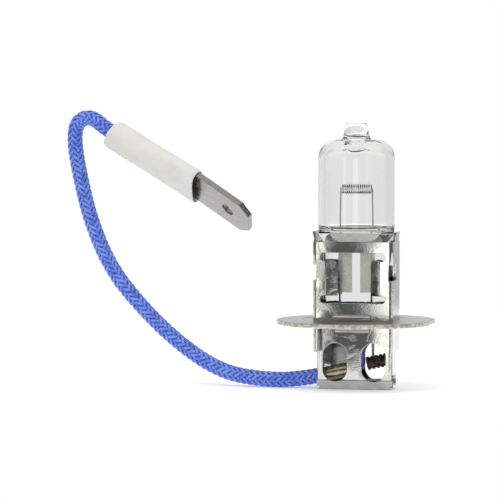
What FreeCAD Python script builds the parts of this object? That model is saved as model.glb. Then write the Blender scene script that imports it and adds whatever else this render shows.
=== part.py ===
import FreeCAD, Part
import Sketcher
import math
import os
import re

# Halogen headlight bulb with a prefocus flange and a flying lead, in millimetres.
# The origin is the centre of the flange's reference face, on the bulb's axis. +Z points to the glass
# tip, -Y is the front with the wide window, and the lead leaves towards -X.

SIZES = [
    # flange
    ("flange_radius", 11.0, "prefocus flange, outside radius"),
    ("flange_thickness", 0.6, "sheet thickness"),
    ("flange_flat", 10.45, "axis to the index flat"),
    ("coin_radius", 7.5, "inside edge of the seating ring"),
    ("coin_depth", 0.05, "step down inside the seating ring"),
    ("flange_gap", 0.05, "clearance of the square hole round the sleeve"),
    # sleeve
    ("sheet_metal", 0.3, "sheet thickness of sleeve and holder"),
    ("sleeve_width", 11.2, "outside, along X"),
    ("sleeve_depth", 6.2, "outside, along Y"),
    ("sleeve_top", 10.83, "upper edge of the walls"),
    ("sleeve_skirt", -0.9, "lower edge of the front and back walls"),
    ("sleeve_foot", -4.4, "lower edge of the side walls"),
    ("sleeve_bend", 0.55, "outside bend radius of the corners"),
    ("corner_strip", 0.7, "width of the corner strips below the skirt"),
    ("slot_half", 4.55, "half length of the window's end slots"),
    ("slot_upper_low", 8.13, "upper slot, lower edge"),
    ("slot_upper_high", 9.31, "upper slot, upper edge"),
    ("slot_lower_low", 2.39, "lower slot, lower edge"),
    ("slot_lower_high", 3.45, "lower slot, upper edge"),
    ("door_hinge", 3.8, "axis to the doors' bend lines"),
    ("door_low", 3.35, "doors, lower edge"),
    ("door_high", 8.23, "doors, upper edge"),
    ("door_width", 2.0, "from bend line to free edge"),
    ("door_angle", 43.0, "degrees that the doors are bent inward"),
    ("door_corner", 0.75, "radius of the doors' upper inner corners"),
    ("lip_base", 7.8, "width of the top lips at the wall"),
    ("lip_length", 1.55, "from the wall's edge to the lip's edge"),
    ("lip_angle", 40.0, "degrees that the lips lean inward"),
    ("lip_corner", 1.1, "corner radius of the lips"),
    ("ear_width", 3.3, "width of the side ears"),
    ("ear_height", 1.47, "height of the side ears above the walls"),
    ("ear_angle", 10.0, "degrees that the side ears lean outward"),
    ("ear_root", 0.12, "how far the ears reach into the walls"),
    ("notch_low", 5.5, "corner notch, lower edge"),
    ("notch_high", 7.65, "corner notch, upper edge"),
    ("notch_side", 2.9, "length of the notch along the side wall"),
    ("ridge_half", 2.6, "half width of the clinch ridge above the flange"),
    ("ridge_height", 0.75, "height of the clinch ridge"),
    ("ridge_depth", 0.55, "how far the clinch ridge stands proud"),
    ("ridge_round", 0.44, "rounding of the clinch ridge's upper edge"),
    ("tab_half", 2.4, "half width of the clinch tab below the flange"),
    ("tab_length", 1.15, "length of the clinch tab"),
    ("tab_angle", 38.0, "degrees that the clinch tab leans outward"),
    # holder
    ("holder_width", 10.6, "outside, along X"),
    ("holder_depth", 3.6, "outside, along Y"),
    ("holder_top", 1.8, "upper edge of the holder"),
    ("holder_fold", -8.3, "height of the bend lines of the lower flaps"),
    ("holder_foot", -9.62, "lower edge of the holder"),
    ("holder_side", -7.6, "lower edge of the closed side wall"),
    ("cable_port", -6.4, "upper edge of the opening for the lead"),
    ("flap_angle", 22.0, "degrees that the lower flaps lean inward"),
    ("flap_length", 1.36, "length of the lower flaps"),
    ("flap_root", 0.05, "how far the lower flaps reach above their bend lines"),
    ("opening_edge", 0.36, "front and back walls' share of the side walls' lower openings"),
    ("eye_x", 2.7, "axis to the centres of the obround holes"),
    ("eye_radius", 1.7, "half width of the obround holes"),
    ("eye_low", -8.5, "obround holes, lower end"),
    ("eye_high", -3.2, "obround holes, upper end"),
    # capsule
    ("glass_radius", 5.25, "outside radius of the bulb"),
    ("tip_top", 27.1, "top of the exhaust tip"),
    ("tip_radius", 1.5, "radius of the exhaust tip"),
    ("tip_root", 2.07, "radius of the tip's root"),
    ("tip_root_z", 25.0, "height of the tip's root"),
    ("dome_low", 22.3, "where the dome starts"),
    ("shoulder_high", 12.9, "where the lower shoulder starts"),
    ("shoulder_low", 12.1, "where the lower shoulder meets the pinch"),
    ("flare_low", 10.4, "where the pinch starts to widen to the bulb"),
    ("flare_high", 11.8, "where the widened pinch meets the bulb"),
    ("cavity_radius", 4.4, "radius of the gas space"),
    ("cavity_floor", 12.6, "lowest point of the gas space"),
    ("cavity_low", 13.5, "where the gas space gets its full radius"),
    ("cavity_high", 22.1, "where the gas space starts to close"),
    ("cavity_neck", 1.1, "radius of the gas space in the tip's root"),
    ("cavity_neck_z", 24.2, "height where the neck starts"),
    ("cavity_top", 24.65, "highest point of the gas space"),
    ("pinch_half_width", 4.3, "half width of the pinch seal"),
    ("pinch_half_depth", 1.4, "half thickness of the pinch seal"),
    ("pinch_low", 2.5, "lower end of the pinch seal"),
    # inside the capsule
    ("coil_z", 18.0, "light centre above the reference face"),
    ("coil_half", 2.11, "half length of the coil"),
    ("coil_radius", 0.65, "outside radius of the coil"),
    ("coil_wire", 0.14, "diameter of the coil's wire"),
    ("leg_x", 2.25, "axis to the coil's legs"),
    ("leg_radius", 0.14, "radius of the legs"),
    ("leg_low", 9.3, "lower ends of the legs"),
    ("foil_inner", 0.56, "axis to the foils' inner edges"),
    ("foil_outer", 2.7, "axis to the foils' outer edges"),
    ("foil_low", 3.7, "lower ends of the foils"),
    ("foil_high", 10.5, "upper ends of the foils"),
    ("foil_thickness", 0.1, "thickness of the foils"),
    ("wire_x", 2.35, "axis to the outer lead wires"),
    ("wire_radius", 0.2, "radius of the outer lead wires"),
    ("wire_high", 4.9, "upper ends of the outer lead wires"),
    ("ground_wire_low", -5.48, "lower end of the ground wire"),
    # ground and live joints
    ("ferrule_x", 2.95, "ground ferrule, centre"),
    ("ferrule_z", -5.8, "ground ferrule, height of its centre"),
    ("ferrule_radius", 0.95, "ground ferrule, radius of its ribs"),
    ("ferrule_groove", 0.78, "ground ferrule, radius of its grooves"),
    ("ferrule_length", 2.8, "ground ferrule, length"),
    ("ferrule_rib", 0.36, "ground ferrule, width of a rib"),
    ("ferrule_tilt", 12.0, "degrees that the ground ferrule rises"),
    ("strap_start", 3.8, "axis to the ground strap's inner end"),
    ("strap_half", 0.45, "half width of the ground strap"),
    ("strap_low", -5.9, "ground strap, lower face"),
    ("strap_high", -5.1, "ground strap, upper face"),
    ("strap_gap", 0.02, "ground strap to the ferrule"),
    ("crimp_radius", 0.98, "live crimp, radius"),
    ("crimp_bore", 0.62, "live crimp, bore radius"),
    ("crimp_length", 3.7, "live crimp, length"),
    ("crimp_gap", 0.25, "end of the braid to the live crimp"),
    ("conductor_grip", 1.85, "length of the conductor inside the live crimp"),
    ("wire_grip", 1.48, "length of the live wire inside the live crimp"),
    ("sleeving_high", 2.2, "sleeving on the live wire, upper end"),
    ("sleeving_gap", 0.1, "sleeving on the live wire to the live crimp"),
    ("sleeving_radius", 0.65, "sleeving on the live wire, outside radius"),
    ("sleeving_bore", 0.25, "sleeving on the live wire, bore radius"),
    # lead
    ("conductor_radius", 0.5, "stranded conductor"),
    ("insulation_bore", 0.52, "insulation, bore radius"),
    ("insulation_radius", 0.85, "insulation, outside radius"),
    ("braid_bore", 0.87, "braid, bore radius"),
    ("braid_radius", 1.08, "braid, outside radius"),
    ("insulation_end", 0.5, "insulation beyond the braid at the terminal"),
    ("strip_length", 4.6, "conductor beyond the braid at the terminal"),
    # terminal
    ("blade_half", 3.15, "blade, half width"),
    ("blade_thickness", 0.8, "blade, thickness"),
    ("blade_length", 9.35, "blade in front of the sleeve"),
    ("blade_root", 1.0, "full-width blade inside the sleeve"),
    ("neck_half", 1.2, "half width of the neck between blade and crimp barrel"),
    ("neck_back", 5.2, "neck, inside the sleeve"),
    ("blade_straight", 7.75, "blade, straight part of its edges in front of the sleeve"),
    ("nose_half", 1.7, "blade, half width of its end"),
    ("detent_radius", 0.95, "detent hole"),
    ("detent_from_tip", 3.75, "blade's end to the detent hole"),
    ("barrel_radius", 0.8, "crimp barrel, outside radius"),
    ("barrel_z", 0.6, "crimp barrel's axis over the blade's middle plane"),
    ("barrel_bore", 0.55, "crimp barrel, bore radius"),
    ("barrel_front", 4.5, "crimp barrel's front, inside the sleeve"),
    ("barrel_back", 8.5, "crimp barrel's back, inside the sleeve"),
    ("barrel_round", 0.5, "rounding of the crimp barrel's front"),
    ("boot_length", 15.0, "white sleeve, length"),
    ("boot_radius", 2.08, "white sleeve, radius at the lead"),
    ("boot_bore", 1.4, "white sleeve, bore radius at the lead"),
    ("boot_round", 3.2, "length of the round end"),
    ("boot_mouth_half", 3.55, "white sleeve, half width of the mouth"),
    ("boot_mouth_depth", 1.26, "white sleeve, half height of the mouth"),
    ("boot_corner", 0.7, "white sleeve, corner radius of the mouth"),
    ("boot_wall", 0.25, "white sleeve, wall at the mouth"),
    ("boot_flat", 1.2, "length of the flattened end"),
    ("boot_mouth_z", 0.2, "mouth's centre over the blade's middle plane"),
    ("boot_back_z", 1.0, "round end's centre over the blade's middle plane"),
    ("boot_sharpness", 0.04, "flat share of the round end's section, which the loft needs"),
    ("boot_over", 0.5, "how far the tool for the bore stands out of both ends"),
]
size = {alias: value for alias, value, meaning in SIZES}

# Where the terminal lies: the point of the blade's middle plane at the white sleeve's mouth, the
# blade's direction and the direction across the blade.
MOUTH = FreeCAD.Vector(-21.93, -1.71, 18.29)
ALONG_BLADE = FreeCAD.Vector(0.827, -0.211, -0.521)
ACROSS_BLADE = FreeCAD.Vector(0.149, -0.811, 0.566)

# The lead's route from its joint in the holder, over the fold behind the terminal, into its barrel.
LEAD_ROUTE = [
    (-4.95, 0.00, -7.80),
    (-8.30, 0.00, -8.50),
    (-13.33, 0.10, -8.56),
    (-19.13, 0.60, -7.70),
    (-25.27, 1.20, -4.00),
    (-31.14, 1.70, 1.35),
    (-35.59, 2.20, 6.68),
    (-38.51, 2.60, 13.25),
    (-40.05, 2.70, 19.57),
    (-40.72, 2.60, 23.51),
    (-40.67, 2.50, 26.35),
    (-39.56, 2.30, 27.60),
    (-37.81, 1.90, 27.67),
    (-35.84, 1.08, 26.13),
    (-32.51, 0.58, 24.37),
    (-30.48, 0.06, 23.09),
]

# The share of a run between two points of the route that the bend at either end takes up.
BEND_SHARE = 0.45

# The live wire's corners between the pinch and the live crimp, and the radii of its bends.
LIVE_WIRE_CORNERS = [(-2.35, -0.06, 0.9), (0.6, 0.0, -3.2), (0.65, 0.0, -6.63)]
LIVE_WIRE_BENDS = [1.4, 1.4, 1.0]

# Heights of the capsule's arcs as shares of their chords.
SHOULDER_BULGE, DOME_BULGE, NECK_BULGE = -0.08, -0.19, 0.06
GAS_FLOOR_BULGE, GAS_ROOF_BULGE = -0.1, -0.17

GROUND_RIBS = 5

doc = FreeCAD.newDocument("halogen_bulb")
sheet = doc.addObject("Spreadsheet::Sheet", "sizes")
for row, (alias, value, meaning) in enumerate(SIZES, start=1):
    sheet.set(f"A{row}", alias)
    sheet.set(f"B{row}", str(value))
    sheet.setAlias(f"B{row}", alias)
    sheet.set(f"C{row}", meaning)
doc.recompute()

ALIAS = re.compile(r"\b(" + "|".join(size) + r")\b")
X_AXIS = FreeCAD.Vector(1, 0, 0)
Y_AXIS = FreeCAD.Vector(0, 1, 0)
Z_AXIS = FreeCAD.Vector(0, 0, 1)
PLANES = {"XY": "XY_Plane", "XZ": "XZ_Plane", "YZ": "YZ_Plane"}


def bind(thing, prop, formula):
    """Bind a property to a formula in the sheet's aliases."""
    thing.setExpression(prop, ALIAS.sub(r"sizes.\1", formula))


def place(thing, x, y, z, axis=X_AXIS, angle=0.0):
    """Turn a thing about an axis through its own origin, then bind its position."""
    thing.Placement = FreeCAD.Placement(FreeCAD.Vector(), FreeCAD.Rotation(axis, angle))
    for letter, formula in zip("xyz", (x, y, z)):
        bind(thing, "Placement.Base." + letter, formula)
    return thing


def block(name, x, y, z):
    """A box between pairs of formulas."""
    thing = doc.addObject("Part::Box", name)
    for side, (low, high) in zip(("Length", "Width", "Height"), (x, y, z)):
        bind(thing, side, f"({high}) - ({low})")
    return place(thing, x[0], y[0], z[0])


def turned_block(name, sides, corner, axis, angle):
    """A box of three side formulas, turned about the axis through its own corner."""
    thing = doc.addObject("Part::Box", name)
    for side, formula in zip(("Length", "Width", "Height"), sides):
        bind(thing, side, formula)
    return place(thing, *corner, axis=axis, angle=angle)


def cylinder(name, radius, length, start=("0", "0", "0"), along=Z_AXIS):
    thing = doc.addObject("Part::Cylinder", name)
    bind(thing, "Radius", radius)
    bind(thing, "Height", length)
    turn = FreeCAD.Rotation(Z_AXIS, along)
    return place(thing, *start, axis=turn.Axis, angle=math.degrees(turn.Angle))


def fuse(name, *things):
    thing = doc.addObject("Part::MultiFuse", name)
    thing.Shapes = list(things)
    thing.Refine = True
    return thing


def cut(name, base, *tools):
    thing = doc.addObject("Part::Cut", name)
    thing.Base = base
    thing.Tool = tools[0] if len(tools) == 1 else fuse(name + "_tools", *tools)
    thing.Refine = True
    return thing


def common(name, *things):
    thing = doc.addObject("Part::MultiCommon", name)
    thing.Shapes = list(things)
    return thing


def rounded(name, base, axis, radius, keep=None):
    """Fillet the straight edges that run along the axis and that keep accepts."""
    doc.recompute()
    thing = doc.addObject("Part::Fillet", name)
    thing.Base = base
    edges = []
    for number, edge in enumerate(base.Shape.Edges, start=1):
        if not isinstance(edge.Curve, Part.Line):
            continue
        if abs(edge.tangentAt(edge.FirstParameter) * axis) < 0.999:
            continue
        if keep is None or keep(edge.CenterOfMass):
            edges.append((number, radius, radius))
    thing.Edges = edges
    return thing


def body(name):
    return doc.addObject("PartDesign::Body", name)


def sketch(owner, name, plane):
    thing = owner.newObject("Sketcher::SketchObject", name)
    role = PLANES[plane]
    thing.AttachmentSupport = [(next(f for f in owner.Origin.OriginFeatures if f.Role == role), "")]
    thing.MapMode = "FlatFace"
    return thing


def signed(alias):
    """The number in an alias's cell, with the alias's sign."""
    if alias == "0":
        return 0.0
    return -size[alias[1:]] if alias.startswith("-") else size[alias]


def outline(drawing, corners, bulges=None):
    """A closed sketch outline through corners of alias pairs, each tied to its cells; "0" is the
    origin and a minus sign mirrors. An edge in bulges is an arc, whose height is that share of its
    chord, on the outline's left when positive."""
    places = [FreeCAD.Vector(signed(pair[0]), signed(pair[1]), 0) for pair in corners]
    for number, start in enumerate(places):
        end = places[(number + 1) % len(places)]
        bulge = (bulges or {}).get(number)
        if bulge is None:
            drawing.addGeometry(Part.LineSegment(start, end))
            continue
        middle = (start + end) / 2 + Z_AXIS.cross(end - start) * bulge
        drawing.addGeometry(Part.Arc(start, middle, end))
        drawing.addConstraint(Sketcher.Constraint("Radius", number, drawing.Geometry[number].Radius))
    for number, pair in enumerate(corners):
        before = (number - 1) % len(corners)
        own_end, other_end = ends_that_meet(drawing, number, before)
        drawing.addConstraint(Sketcher.Constraint("Coincident", before, other_end, number, own_end))
        for kind, alias in zip(("DistanceX", "DistanceY"), pair):
            tie = drawing.addConstraint(Sketcher.Constraint(kind, -1, 1, number, own_end, signed(alias)))
            if alias != "0":
                bind(drawing, f"Constraints[{tie}]", alias)


def ends_that_meet(drawing, number, before):
    """Which ends of two sketch edges share a point: an arc may run the other way round."""
    for own_end in (1, 2):
        for other_end in (2, 1):
            gap = drawing.getPoint(number, own_end) - drawing.getPoint(before, other_end)
            if gap.Length < 1e-6:
                return own_end, other_end
    raise RuntimeError(f"{drawing.Name}: edges {before} and {number} don't meet")


def obround(name, across, low, high, radius, y):
    """A block with two round ends, for cutting an upright obround hole through the sheet."""
    parts = [block(name + "_mid", (f"{across} - {radius}", f"{across} + {radius}"), y,
                   (f"{low} + {radius}", f"{high} - {radius}"))]
    for end, z in (("low", f"{low} + {radius}"), ("high", f"{high} - {radius}")):
        parts.append(cylinder(f"{name}_{end}", radius, f"({y[1]}) - ({y[0]})", (across, y[0], z), Y_AXIS))
    return fuse(name, *parts)


def slot(name, half, low, high, y):
    """A lying slot with round ends, cut through both walls."""
    radius = f"(({high}) - ({low})) / 2"
    middle = f"(({high}) + ({low})) / 2"
    parts = [block(name + "_mid", (f"-({half}) + {radius}", f"{half} - {radius}"), y, (low, high))]
    for end, x in (("left", f"-({half}) + {radius}"), ("right", f"{half} - {radius}")):
        parts.append(cylinder(f"{name}_{end}", radius, f"({y[1]}) - ({y[0]})", (x, y[0], middle), Y_AXIS))
    return fuse(name, *parts)


def outer_sleeve():
    front_back = ("-sleeve_depth", "sleeve_depth")
    outside = block("sleeve_outside", ("-sleeve_width / 2", "sleeve_width / 2"),
                    ("-sleeve_depth / 2", "sleeve_depth / 2"), ("sleeve_foot", "sleeve_top"))
    inside = block("sleeve_inside", ("-sleeve_width / 2 + sheet_metal", "sleeve_width / 2 - sheet_metal"),
                   ("-sleeve_depth / 2 + sheet_metal", "sleeve_depth / 2 - sheet_metal"),
                   ("sleeve_foot", "sleeve_top"))
    shell = cut("sleeve_shell", rounded("sleeve_bends", outside, Z_AXIS, size["sleeve_bend"]),
                rounded("sleeve_inner_bends", inside, Z_AXIS, size["sleeve_bend"] - size["sheet_metal"]))
    leg = "sleeve_width / 2 - corner_strip"
    openings = [
        block("sleeve_skirt_cut", (f"-({leg})", leg), front_back, ("sleeve_foot", "sleeve_skirt")),
        block("sleeve_window", ("-door_hinge", "door_hinge"), front_back,
              ("(slot_lower_low + slot_lower_high) / 2", "(slot_upper_low + slot_upper_high) / 2")),
        slot("sleeve_upper_slot", "slot_half", "slot_upper_low", "slot_upper_high", front_back),
        slot("sleeve_lower_slot", "slot_half", "slot_lower_low", "slot_lower_high", front_back),
    ]
    for side, sign in (("left", "-"), ("right", "")):
        edge = f"{sign}sleeve_width / 2"
        openings.append(cylinder(f"sleeve_notch_{side}", "(notch_high - notch_low) / 2", "sleeve_depth / 2",
                                 (edge, "-sleeve_depth", "(notch_low + notch_high) / 2"), Y_AXIS))
        openings.append(block(f"sleeve_notch_side_{side}",
                              (f"{edge} - 2 * sheet_metal", f"{edge} + 2 * sheet_metal"),
                              ("-sleeve_depth", "-sleeve_depth / 2 + notch_side"),
                              ("notch_low", "notch_high")))
    bare = cut("sleeve_bare", shell, *openings)

    additions = []
    for face in ("front", "back"):
        for side in (-1, 1):
            additions.append(door(f"sleeve_door_{face}_{'left' if side < 0 else 'right'}", side, face))
        additions += [lip(f"sleeve_lip_{face}", face), ridge(f"sleeve_ridge_{face}", face),
                      clinch_tab(f"sleeve_tab_{face}", face)]
    for side in (-1, 1):
        additions.append(ear(f"sleeve_ear_{'left' if side < 0 else 'right'}", side))
    return fuse("outer_sleeve", bare, *additions)


def mirrored(name, thing, normal):
    """A thing's mirror image in the plane through the origin."""
    image = doc.addObject("Part::Mirroring", name)
    image.Source = thing
    image.Normal = normal
    return image


def on_face(name, thing, face):
    """A thing made for the front, on the front or the back."""
    return thing if face == "front" else mirrored(name, thing, Y_AXIS)


def door(name, side, face):
    """A flap of the window, bent inward about its upright hinge line onto the pinch."""
    plate = block(name + "_plate", ("0", "door_width"), ("0", "sheet_metal"), ("door_low", "door_high"))
    plate = rounded(name + "_round", plate, Y_AXIS, size["door_corner"],
                    lambda spot: spot.x > size["door_width"] / 2 and spot.z > size["slot_upper_low"])
    place(plate, "door_hinge + sheet_metal / 2", "-sleeve_depth / 2 + sheet_metal", "0",
          Z_AXIS, 180 - size["door_angle"])
    if side < 0:
        plate = mirrored(name + "_left", plate, X_AXIS)
    return on_face(name + "_face", plate, face)


def lip(name, face):
    """The tongue above the window that leans in under the bulb's shoulder."""
    plate = block(name + "_plate", ("-lip_base / 2", "lip_base / 2"), ("0", "sheet_metal"),
                  ("0", "lip_length"))
    plate = rounded(name + "_round", plate, Y_AXIS, size["lip_corner"],
                    lambda spot: spot.z > size["lip_length"] / 2)
    place(plate, "0", "-sleeve_depth / 2", "sleeve_top", X_AXIS, -size["lip_angle"])
    return on_face(name + "_face", plate, face)


def ridge(name, face):
    """The pressed ridge that holds the flange from above."""
    bar = block(name + "_bar", ("-ridge_half", "ridge_half"),
                ("-sleeve_depth / 2 - ridge_depth", "-sleeve_depth / 2 + sheet_metal / 2"),
                ("0", "ridge_height"))
    bar = rounded(name + "_round", bar, X_AXIS, size["ridge_round"],
                  lambda spot: spot.z > size["ridge_height"] / 2 and spot.y < -size["sleeve_depth"] / 2)
    return on_face(name + "_face", bar, face)


def clinch_tab(name, face):
    """The tab that is bent out under the flange."""
    plate = turned_block(name + "_plate", ("2 * tab_half", "sheet_metal", "tab_length"),
                         ("-tab_half", "-sleeve_depth / 2 + sheet_metal", "sleeve_skirt + sheet_metal / 2"),
                         X_AXIS, 180 - size["tab_angle"])
    return on_face(name + "_face", plate, face)


def ear(name, side):
    """A tab of the side wall that guides the bulb's shoulder."""
    corner = ("sleeve_width / 2 - sheet_metal" if side > 0 else "-sleeve_width / 2",
              "-ear_width / 2", "sleeve_top - ear_root")
    return turned_block(name, ("sheet_metal", "ear_width", "ear_height"), corner, Y_AXIS,
                        side * size["ear_angle"])


def prefocus_flange():
    owner = body("prefocus_flange")
    drawing = sketch(owner, "flange_outline", "XY")
    radius, flat = size["flange_radius"], size["flange_flat"]
    start = math.acos(flat / radius)
    circle = Part.Circle(FreeCAD.Vector(), Z_AXIS, radius)
    drawing.addGeometry(Part.ArcOfCircle(circle, start, 2 * math.pi - start))
    half = radius * math.sin(start)
    drawing.addGeometry(Part.LineSegment(FreeCAD.Vector(flat, -half), FreeCAD.Vector(flat, half)))
    drawing.addConstraint(Sketcher.Constraint("Coincident", 0, 3, -1, 1))
    drawing.addConstraint(Sketcher.Constraint("Coincident", 0, 2, 1, 1))
    drawing.addConstraint(Sketcher.Constraint("Coincident", 0, 1, 1, 2))
    drawing.addConstraint(Sketcher.Constraint("Vertical", 1))
    rim = drawing.addConstraint(Sketcher.Constraint("Radius", 0, radius))
    bind(drawing, f"Constraints[{rim}]", "flange_radius")
    edge = drawing.addConstraint(Sketcher.Constraint("DistanceX", -1, 1, 1, 1, flat))
    bind(drawing, f"Constraints[{edge}]", "flange_flat")
    pad = owner.newObject("PartDesign::Pad", "flange_blank")
    pad.Profile = drawing
    pad.Reversed = True
    bind(pad, "Length", "flange_thickness")

    coin = sketch(owner, "flange_coin", "XY")
    coin.addGeometry(Part.Circle(FreeCAD.Vector(), Z_AXIS, size["coin_radius"]))
    coin.addConstraint(Sketcher.Constraint("Coincident", 0, 3, -1, 1))
    ring = coin.addConstraint(Sketcher.Constraint("Radius", 0, size["coin_radius"]))
    bind(coin, f"Constraints[{ring}]", "coin_radius")
    recess = owner.newObject("PartDesign::Pocket", "flange_recess")
    recess.Profile = coin
    bind(recess, "Length", "coin_depth")

    hole = owner.newObject("PartDesign::SubtractiveBox", "flange_hole")
    bind(hole, "Length", "sleeve_width + 2 * flange_gap")
    bind(hole, "Width", "sleeve_depth + 2 * flange_gap")
    bind(hole, "Height", "2 * flange_thickness")
    place(hole, "-sleeve_width / 2 - flange_gap", "-sleeve_depth / 2 - flange_gap",
          "-1.5 * flange_thickness")
    owner.Tip = hole
    return owner


def inner_holder():
    half_width, half_depth = "holder_width / 2", "holder_depth / 2"
    outside = block("holder_outside", (f"-{half_width}", half_width), (f"-{half_depth}", half_depth),
                    ("holder_fold", "holder_top"))
    inside = block("holder_inside", (f"-{half_width} + sheet_metal", f"{half_width} - sheet_metal"),
                   (f"-{half_depth} + sheet_metal", f"{half_depth} - sheet_metal"),
                   ("holder_fold", "holder_top"))
    shell = cut("holder_shell", rounded("holder_bends", outside, Z_AXIS, size["sleeve_bend"]),
                rounded("holder_inner_bends", inside, Z_AXIS, size["sleeve_bend"] - size["sheet_metal"]))
    wall = f"{half_width} - opening_edge"
    between = (f"-{half_depth} + opening_edge", f"{half_depth} - opening_edge")
    openings = [
        block("holder_side_cut", (wall, "holder_width"), between, ("holder_foot", "holder_side")),
        block("holder_port", ("-holder_width", f"-({wall})"), between, ("holder_foot", "cable_port")),
        obround("holder_eye_left", "-eye_x", "eye_low", "eye_high", "eye_radius", ("-holder_depth", "0")),
        obround("holder_eye_right", "eye_x", "eye_low", "eye_high", "eye_radius",
                ("-holder_depth", "holder_depth")),
    ]
    flaps = []
    for face in ("front", "back"):
        flap = turned_block(f"holder_flap_{face}", ("holder_width", "sheet_metal", "flap_length"),
                            (f"-{half_width}", f"-{half_depth} + sheet_metal", "holder_fold + flap_root"),
                            X_AXIS, 180 + size["flap_angle"])
        flaps.append(on_face(f"holder_flap_{face}_face", flap, face))
    folded = fuse("holder_folded", shell, *flaps)
    return cut("inner_holder", folded, *openings)


def capsule_outside():
    """The bulb, dome and tip turned about the axis, and the flat pinch that widens into it."""
    owner = body("glass_turned")
    drawing = sketch(owner, "glass_outline", "XZ")
    outline(drawing, [("0", "shoulder_low"), ("pinch_half_depth", "shoulder_low"),
                      ("glass_radius", "shoulder_high"), ("glass_radius", "dome_low"),
                      ("tip_root", "tip_root_z"), ("tip_radius", "tip_top"), ("0", "tip_top")],
            {1: SHOULDER_BULGE, 3: DOME_BULGE, 4: NECK_BULGE})
    turned = owner.newObject("PartDesign::Revolution", "glass_turning")
    turned.Profile = drawing
    turned.ReferenceAxis = (drawing, ["V_Axis"])
    turned.Angle = 360

    owner = body("glass_flare")
    drawing = sketch(owner, "flare_outline", "XZ")
    outline(drawing, [("-pinch_half_width", "pinch_low"), ("pinch_half_width", "pinch_low"),
                      ("pinch_half_width", "flare_low"), ("glass_radius", "flare_high"),
                      ("glass_radius", "shoulder_high"), ("-glass_radius", "shoulder_high"),
                      ("-glass_radius", "flare_high"), ("-pinch_half_width", "flare_low")])
    slab = owner.newObject("PartDesign::Pad", "flare_slab")
    slab.Profile = drawing
    slab.Midplane = True
    bind(slab, "Length", "2 * pinch_half_depth")
    barrel = cylinder("glass_barrel", "glass_radius", "shoulder_high - pinch_low", ("0", "0", "pinch_low"))
    return fuse("glass_outside", doc.getObject("glass_turned"), common("glass_pinch", owner, barrel))


def quartz_envelope(sealed):
    owner = body("gas_space")
    drawing = sketch(owner, "gas_outline", "XZ")
    outline(drawing, [("0", "cavity_floor"), ("cavity_radius", "cavity_low"),
                      ("cavity_radius", "cavity_high"),
                      ("cavity_neck", "cavity_neck_z"), ("cavity_neck", "cavity_top"), ("0", "cavity_top")],
            {0: GAS_FLOOR_BULGE, 2: GAS_ROOF_BULGE})
    turned = owner.newObject("PartDesign::Revolution", "gas_turning")
    turned.Profile = drawing
    turned.ReferenceAxis = (drawing, ["V_Axis"])
    turned.Angle = 360
    return cut("quartz_envelope", capsule_outside(), owner, *sealed)


def filament():
    """The coil, its two legs, the two foils and the ground wire. The coil is a tube of its size."""
    tube = cut("filament_coil",
               cylinder("coil_outside", "coil_radius", "2 * coil_half", ("-coil_half", "0", "coil_z"),
                        X_AXIS),
               cylinder("coil_inside", "coil_radius - coil_wire", "2 * coil_half",
                        ("-coil_half", "0", "coil_z"), X_AXIS))
    pieces = {"filament_coil": tube}
    for end, sign in (("live", "-"), ("ground", "")):
        pieces["filament_leg_" + end] = cylinder(
            "filament_leg_" + end, "leg_radius", "coil_z + leg_radius - leg_low",
            (f"{sign}leg_x", "0", "leg_low"))
        inner, outer = ("-foil_outer", "-foil_inner") if end == "live" else ("foil_inner", "foil_outer")
        pieces["seal_foil_" + end] = block(
            "seal_foil_" + end, (inner, outer), ("leg_radius", "leg_radius + foil_thickness"),
            ("foil_low", "foil_high"))
    pieces["lead_wire_ground"] = cylinder(
        "lead_wire_ground", "wire_radius", "wire_high - ground_wire_low",
        ("wire_x", "leg_radius - wire_radius", "ground_wire_low"))
    return pieces


def bent_path(points, radii):
    """Straight runs through the points, joined by tangent arcs of the given radii."""
    points = [FreeCAD.Vector(*p) for p in points]
    edges = []
    here = points[0]
    for corner, after, radius in zip(points[1:-1], points[2:], radii):
        before = (here - corner).normalize()
        onward = (after - corner).normalize()
        half_turn = (math.pi - before.getAngle(onward)) / 2
        reach = radius * math.tan(half_turn)
        start, end = corner + before * reach, corner + onward * reach
        inward = (before + onward).normalize()
        middle = corner + inward * (radius / math.cos(half_turn) - radius)
        edges += [Part.LineSegment(here, start).toShape(), Part.Arc(start, middle, end).toShape()]
        here = end
    edges.append(Part.LineSegment(here, points[-1]).toShape())
    return Part.Wire(edges)


def swept(path, radius):
    """A round rod along a path."""
    start = path.Edges[0]
    circle = Part.Circle(start.valueAt(start.FirstParameter), start.tangentAt(start.FirstParameter), radius)
    return path.makePipeShell([Part.Wire(circle.toShape())], True, False)


def lead_path(extra_start=0.0, extra_end=0.0):
    """The lead's centreline. An arc has as large a radius as its two runs allow."""
    points = [FreeCAD.Vector(*p) for p in LEAD_ROUTE]
    radii = []
    for before, corner, after in zip(points, points[1:], points[2:]):
        turn = (corner - before).getAngle(after - corner)
        shorter = min((corner - before).Length, (after - corner).Length)
        radii.append(BEND_SHARE * shorter / math.tan(turn / 2))
    points[0] += (points[0] - points[1]).normalize() * extra_start
    points[-1] += (points[-1] - points[-2]).normalize() * extra_end
    return bent_path(points, radii), radii


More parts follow.
